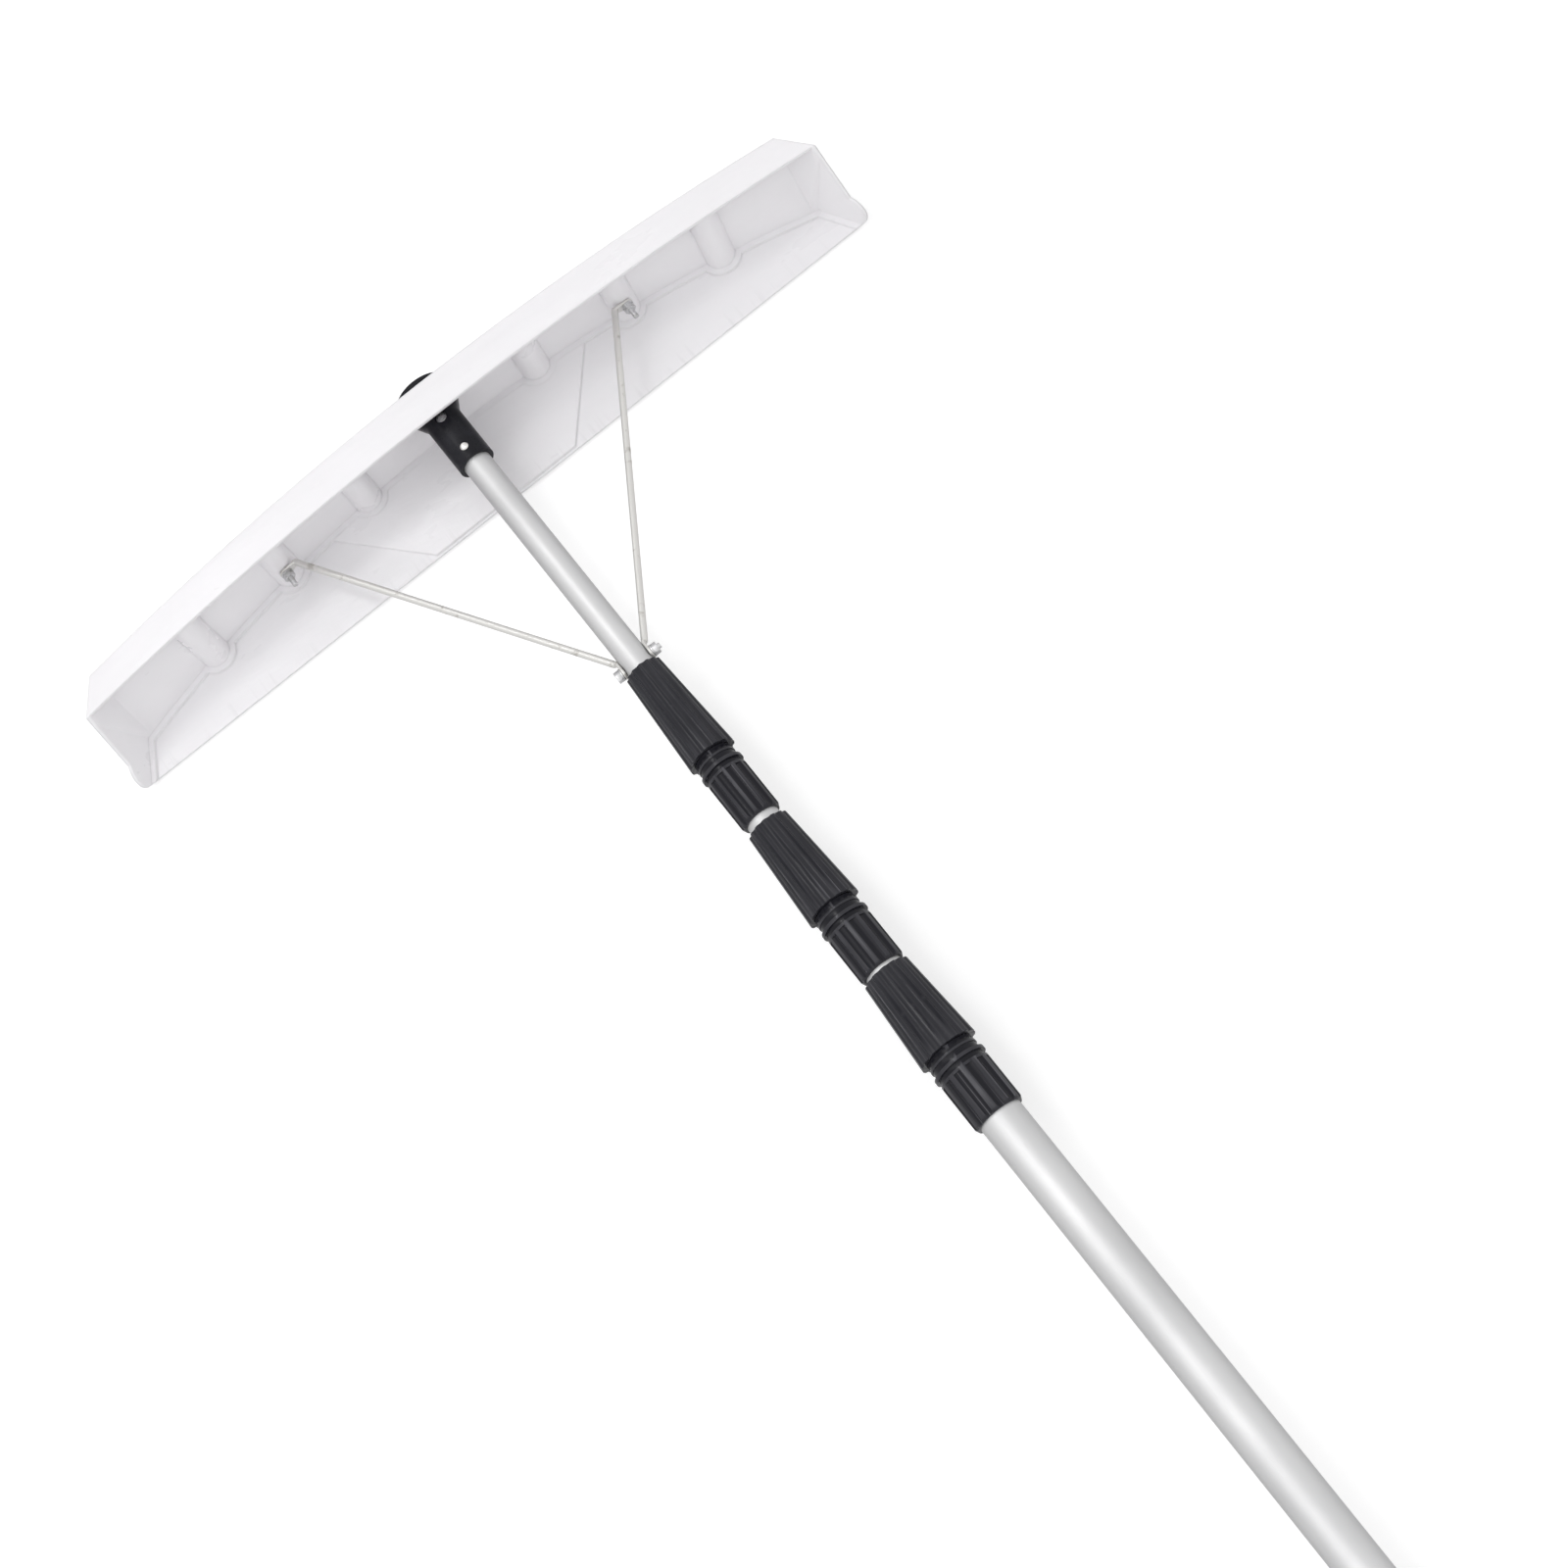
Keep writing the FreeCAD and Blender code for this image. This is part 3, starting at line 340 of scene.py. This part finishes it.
tree, shader = surface("black_plastic", metallic=0.0, gloss=0.17)
mottle = pattern(tree, stretch=(1, 1, 1), scale=60, detail=3.0)
grain = pattern(tree, stretch=(1, 1, 1), scale=1400, detail=2.0)
dress(
    tree, shader,
    tint(tree, spread(tree, mottle, 0.45, 0.75, 0, 1), nylon_black, nylon_rubbed),
    spread(tree, grain, 0.3, 0.7, 0.26, 0.38),
    ((grain, 0.00004), (mottle, 0.0003)),
)

for node, name, width in (
    ("pole_socket", "wall_socket", 0.0006),
    ("socket_back_flange", "wall_flange", 0.0008),
    ("handle_end_cap", "handle_cap", 0.0008),
):
    moulding = merged_copy(node)
    round_edges(moulding, width)
    take_over(moulding, name, node)

# ---------------------------------------------------------------------------------------------
# Collars: each twist lock is a fluted, tapered nut over a neck with a bead and a ring, which is
# one moulding with the fluted grip on the larger tube. Charcoal nylon, satin, with its flute ridges
# painted lighter: mostly a painted highlight for their sheen, partly rubbed wear.
lock_rounding = 0.0005
charcoal = (0.007, 0.007, 0.011)
# The lighter charcoal is painted on the ridges: mostly a painted sheen, partly rubbed wear.
charcoal_rubbed_and_sheen = (0.095, 0.094, 0.105)

tree, shader = surface("collar_plastic", metallic=0.0, gloss=0.20)
mottle = pattern(tree, stretch=(1, 0.4, 1), scale=90, detail=3.0)
grain = pattern(tree, stretch=(1, 1, 1), scale=1500, detail=2.0)
drag = pattern(tree, stretch=(900, 25, 900), scale=1.0, detail=3.0)
shape = add_node(tree, "ShaderNodeNewGeometry", {}, {})
# Painted highlight: the convex ridges, found by pointiness and broken up by the mottle, take the
# lighter colour as sheen stripes, partly as rubbed wear.
ridge_wear_and_sheen = add_node(tree, "ShaderNodeMath", {"operation": "MULTIPLY"}, {})
tree.links.new(spread(tree, shape.outputs["Pointiness"], 0.505, 0.57, 0, 1), ridge_wear_and_sheen.inputs[0])
tree.links.new(spread(tree, mottle, 0.25, 0.7, 0.5, 1), ridge_wear_and_sheen.inputs[1])
dress(
    tree, shader,
    tint(tree, ridge_wear_and_sheen.outputs[0], charcoal, charcoal_rubbed_and_sheen),
    spread(tree, drag, 0.3, 0.7, 0.18, 0.26),
    ((grain, 0.00002), (drag, 0.000004)),
)

for number in (1, 2, 3):
    for half in ("body", "nut"):
        moulding = merged_copy(f"collar_{number}_{half}")
        round_edges(moulding, lock_rounding)
        take_over(moulding, f"lock_{number}_{half}", f"collar_{number}_{half}")

# ---------------------------------------------------------------------------------------------
# Tubes: four drawn aluminium tubes, satin anodised. The drawing leaves fine lines along them,
# and the collets leave faint rings where the tubes slide.
aluminium = (0.63, 0.63, 0.633)
aluminium_dull = (0.57, 0.57, 0.575)

tree, shader = surface("tube_aluminium", metallic=1.0, gloss=0.5)
shader.inputs["Specular Tint"].default_value = (0.6, 0.6, 0.6, 1)
drawn = pattern(tree, stretch=(1100, 7, 1100), scale=1.0, detail=3.0)
rings = pattern(tree, stretch=(3, 420, 3), scale=1.0, detail=4.0)
haze = pattern(tree, stretch=(1, 0.35, 1), scale=34, detail=3.0)
dress(
    tree, shader,
    tint(tree, spread(tree, haze, 0.4, 0.75, 0, 0.7), aluminium, aluminium_dull),
    spread(tree, haze, 0.3, 0.7, 0.50, 0.58),
    ((drawn, 0.000012), (rings, 0.00001)),
)

# ---------------------------------------------------------------------------------------------
# Guides and collets: plain natural nylon turnings inside the tubes and the nuts.
nylon = (0.72, 0.71, 0.66)
nylon_yellowed = (0.66, 0.62, 0.52)

tree, shader = surface("guide_nylon", metallic=0.0, gloss=0.4)
cloud = pattern(tree, stretch=(1, 1, 1), scale=70, detail=3.0)
turning = pattern(tree, stretch=(4, 900, 4), scale=1.0, detail=2.0)
dress(
    tree, shader,
    tint(tree, spread(tree, cloud, 0.4, 0.75, 0, 1), nylon, nylon_yellowed),
    spread(tree, cloud, 0.3, 0.7, 0.42, 0.55),
    ((turning, 0.00003),),
)

# ---------------------------------------------------------------------------------------------
# Braces: two steel rods with a light grey coat. Their ends are hammered flat into round eyes
# and bent, one onto the flute's bolt and one round the side of the pole.
forging_grain = 0.00042
easing_passes = 10
coat = (0.66, 0.65, 0.63)
coat_chipped = (0.36, 0.34, 0.31)

tree, shader = surface("brace_steel", metallic=0.6, gloss=0.5)
peel = pattern(tree, stretch=(1, 1, 1), scale=420, detail=2.0)
chips = pattern(tree, stretch=(1, 1, 1), scale=160, detail=5.0)
dress(
    tree, shader,
    tint(tree, spread(tree, chips, 0.60, 0.74, 0, 1), coat, coat_chipped),
    spread(tree, peel, 0.3, 0.7, 0.30, 0.44),
    ((peel, 0.00006), (chips, 0.00006)),
)

for side in ("left", "right"):
    rod = merged_copy(f"brace_{side}")
    forged = rod.modifiers.new("forged", "REMESH")
    forged.mode = "VOXEL"
    forged.voxel_size = forging_grain
    bpy.ops.object.modifier_apply(modifier="forged")
    eased = rod.modifiers.new("eased", "SMOOTH")
    eased.factor = 0.5
    eased.iterations = easing_passes
    bpy.ops.object.modifier_apply(modifier="eased")
    bpy.ops.object.shade_smooth()
    take_over(rod, f"stay_{side}", f"brace_{side}")

# ---------------------------------------------------------------------------------------------
# Fasteners: zinc plated bolts, hexagon nuts and washers at the flutes, through the pole and in
# the socket, with their edges broken. The zinc has a fine spangle and dull patches.
fastener_rounding = 0.00025
zinc = (0.62, 0.62, 0.63)
zinc_dull = (0.44, 0.44, 0.43)

tree, shader = surface("zinc_steel", metallic=1.0, gloss=0.5)
spangle = pattern(tree, stretch=(1, 1, 1), scale=650, detail=2.0)
stain = pattern(tree, stretch=(1, 1, 1), scale=220, detail=3.0)
dress(
    tree, shader,
    tint(tree, spread(tree, stain, 0.42, 0.72, 0, 1), zinc, zinc_dull),
    spread(tree, spangle, 0.3, 0.7, 0.22, 0.42),
    ((spangle, 0.00003),),
)

for node, name in (
    ("flange_screw", "flange_bolt"), ("flange_washer", "flange_ring"), ("flange_nut", "flange_hex"),
    ("socket_screw", "socket_pan_screw"), ("blade_bolts", "flute_bolts"),
    ("blade_washers", "flute_washers"), ("blade_nuts", "flute_nuts"),
    ("cross_bolt", "pole_bolt"), ("cross_nut", "pole_nut"), ("cross_washers", "pole_washers"),
):
    fastener = merged_copy(node)
    round_edges(fastener, fastener_rounding, rings=2)
    take_over(fastener, name, node)

# ---------------------------------------------------------------------------------------------
# Snap button: a nickel plated dome that stands out of the socket, on a hairpin spring.
button_rounding = 0.0003
nickel = (0.80, 0.79, 0.77)
nickel_rubbed = (0.66, 0.65, 0.63)

tree, shader = surface("button_steel", metallic=1.0, gloss=0.5)
rub = pattern(tree, stretch=(1, 1, 1), scale=500, detail=3.0)
dress(
    tree, shader,
    tint(tree, spread(tree, rub, 0.45, 0.7, 0, 1), nickel, nickel_rubbed),
    spread(tree, rub, 0.3, 0.7, 0.12, 0.24),
    ((rub, 0.00002),),
)

button = merged_copy("snap_button")
round_edges(button, button_rounding)
take_over(button, "button_dome", "snap_button")

# ---------------------------------------------------------------------------------------------
# Every CAD node gets its finish here. Tubes, guides, collets and the button's spring keep their
# CAD shape, and the other nodes are replaced above.
for node, thing in nodes.items():
    for slot in thing.material_slots:
        slot.material = finishes[slots[node]]
